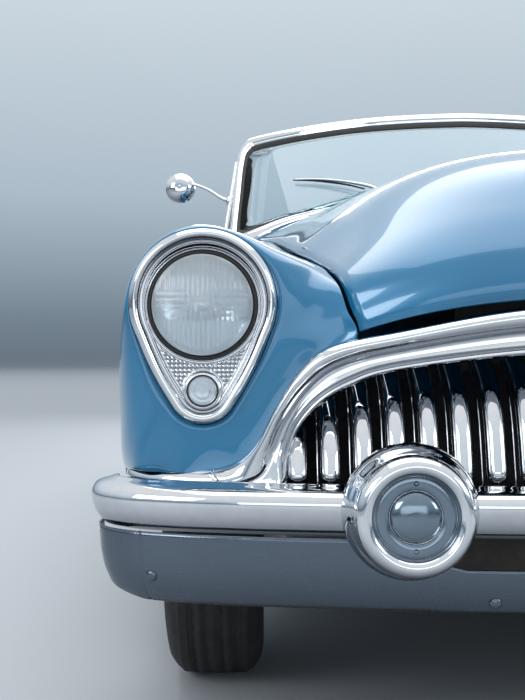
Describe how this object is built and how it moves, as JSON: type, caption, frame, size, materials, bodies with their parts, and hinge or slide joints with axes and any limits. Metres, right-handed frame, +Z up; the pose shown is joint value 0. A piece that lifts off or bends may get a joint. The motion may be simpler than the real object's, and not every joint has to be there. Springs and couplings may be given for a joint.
{
  "type": "1950s classic convertible car",
  "caption": "Open two-door touring car of the 1950s with chrome grille, round lamps in teardrop bezels, wrapped bumpers, opening doors, bonnet and boot lid, and steered wheels.",
  "frame": {"origin": "on the road under the middle of the car", "axes": "+Z up, -Y towards the car's nose, +X towards the car's left side"},
  "size_m": [1.96, 5.2298, 1.4919],
  "materials": {
    "body_paint": "high gloss sky blue enamel",
    "bright_metal": "polished chrome plate",
    "clear_glass": "clear safety glass",
    "black_steel": "black chassis paint",
    "engine_iron": "painted cast iron",
    "lamp_glass": "moulded lens over a silvered bowl",
    "red_lens": "ribbed red lens",
    "tyre_rubber": "black rubber with a white sidewall",
    "seat_leather": "smooth leather",
    "hood_cloth": "folded canvas hood",
    "trim_plastic": "ivory moulding"
  },
  "bodies": {
    "body": {"chassis_frame": "black_steel", "cross_members": "black_steel", "floor_pan": "black_steel", "engine_block": "engine_iron", "radiator": "black_steel", "propeller_shaft": "black_steel", "exhaust_pipe": "black_steel", "front_suspension": "black_steel", "rear_axle": "black_steel", "front_wing_left": "body_paint", "front_wing_right": "body_paint", "cowl": "body_paint", "quarter_panel_left": "body_paint", "quarter_panel_right": "body_paint", "rear_wheelhouses": "black_steel", "rear_deck_panel": "body_paint", "tail_panel": "body_paint", "hood_well": "black_steel", "grille_surround": "bright_metal", "grille_bars": "bright_metal", "headlamp_bezels": "bright_metal", "front_lamps": "lamp_glass", "front_bumper_bar": "bright_metal", "front_bumper_apron": "bright_metal", "bumper_guards": "bright_metal", "rear_bumper": "bright_metal", "tail_lamps": "red_lens", "windscreen_frame": "bright_metal", "windscreen_glass": "clear_glass", "dashboard": "body_paint", "steering_column": "black_steel", "front_seat": "seat_leather", "rear_seat": "seat_leather", "folded_hood": "hood_cloth"},
    "bonnet": {"bonnet": "body_paint"},
    "boot_lid": {"boot_lid": "body_paint"},
    "door_left": {"door_left": "body_paint", "vent_window_left": "bright_metal", "mirror_left": "bright_metal"},
    "door_right": {"door_right": "body_paint", "vent_window_right": "bright_metal", "mirror_right": "bright_metal"},
    "knuckle_left": {"knuckle_left": "black_steel"},
    "knuckle_right": {"knuckle_right": "black_steel"},
    "steering_wheel": {"steering_wheel": "trim_plastic"},
    "road_wheel_front_left": {"wheel_front_left": "bright_metal", "tyre_front_left": "tyre_rubber"},
    "road_wheel_front_right": {"wheel_front_right": "bright_metal", "tyre_front_right": "tyre_rubber"},
    "road_wheel_rear_left": {"wheel_rear_left": "bright_metal", "tyre_rear_left": "tyre_rubber"},
    "road_wheel_rear_right": {"wheel_rear_right": "bright_metal", "tyre_rear_right": "tyre_rubber"}
  },
  "joints": [
    {"name": "bonnet_hinge", "type": "hinge", "parent": "body", "child": "bonnet", "pos_m": [0, -0.935, 1.164], "axis": [-1, 0, 0], "range_deg": [0, 50]},
    {"name": "boot_hinge", "type": "hinge", "parent": "body", "child": "boot_lid", "pos_m": [0, 1.62, 1.004], "axis": [1, 0, 0], "range_deg": [0, 60]},
    {"name": "door_hinge_left", "type": "hinge", "parent": "body", "child": "door_left", "pos_m": [0.912, -0.92, 0.58], "axis": [0, 0, -1], "range_deg": [0, 65]},
    {"name": "door_hinge_right", "type": "hinge", "parent": "body", "child": "door_right", "pos_m": [-0.912, -0.92, 0.58], "axis": [0, 0, 1], "range_deg": [0, 65]},
    {"name": "steer_left", "type": "hinge", "parent": "body", "child": "knuckle_left", "pos_m": [0.62, -1.755, 0.355], "axis": [0, 0, 1], "range_deg": [-30, 30]},
    {"name": "steer_right", "type": "hinge", "parent": "body", "child": "knuckle_right", "pos_m": [-0.62, -1.755, 0.355], "axis": [0, 0, 1], "range_deg": [-30, 30]},
    {"name": "steering_turn", "type": "hinge", "parent": "body", "child": "steering_wheel", "pos_m": [0.38, -0.33, 0.92], "axis": [0, 0.9119, 0.4104], "range_deg": [-540, 540]},
    {"name": "spin_front_left", "type": "hinge", "parent": "knuckle_left", "child": "road_wheel_front_left", "pos_m": [0.75, -1.755, 0.355], "axis": [1, 0, 0], "continuous": true},
    {"name": "spin_front_right", "type": "hinge", "parent": "knuckle_right", "child": "road_wheel_front_right", "pos_m": [-0.75, -1.755, 0.355], "axis": [1, 0, 0], "continuous": true},
    {"name": "spin_rear_left", "type": "hinge", "parent": "body", "child": "road_wheel_rear_left", "pos_m": [0.75, 1.331, 0.355], "axis": [1, 0, 0], "continuous": true},
    {"name": "spin_rear_right", "type": "hinge", "parent": "body", "child": "road_wheel_rear_right", "pos_m": [-0.75, 1.331, 0.355], "axis": [1, 0, 0], "continuous": true}
  ],
  "couplings": [
    {"joint": "steer_right", "follows": "steer_left", "ratio": 1},
    {"joint": "steering_turn", "follows": "steer_left", "ratio": 18}
  ]
}
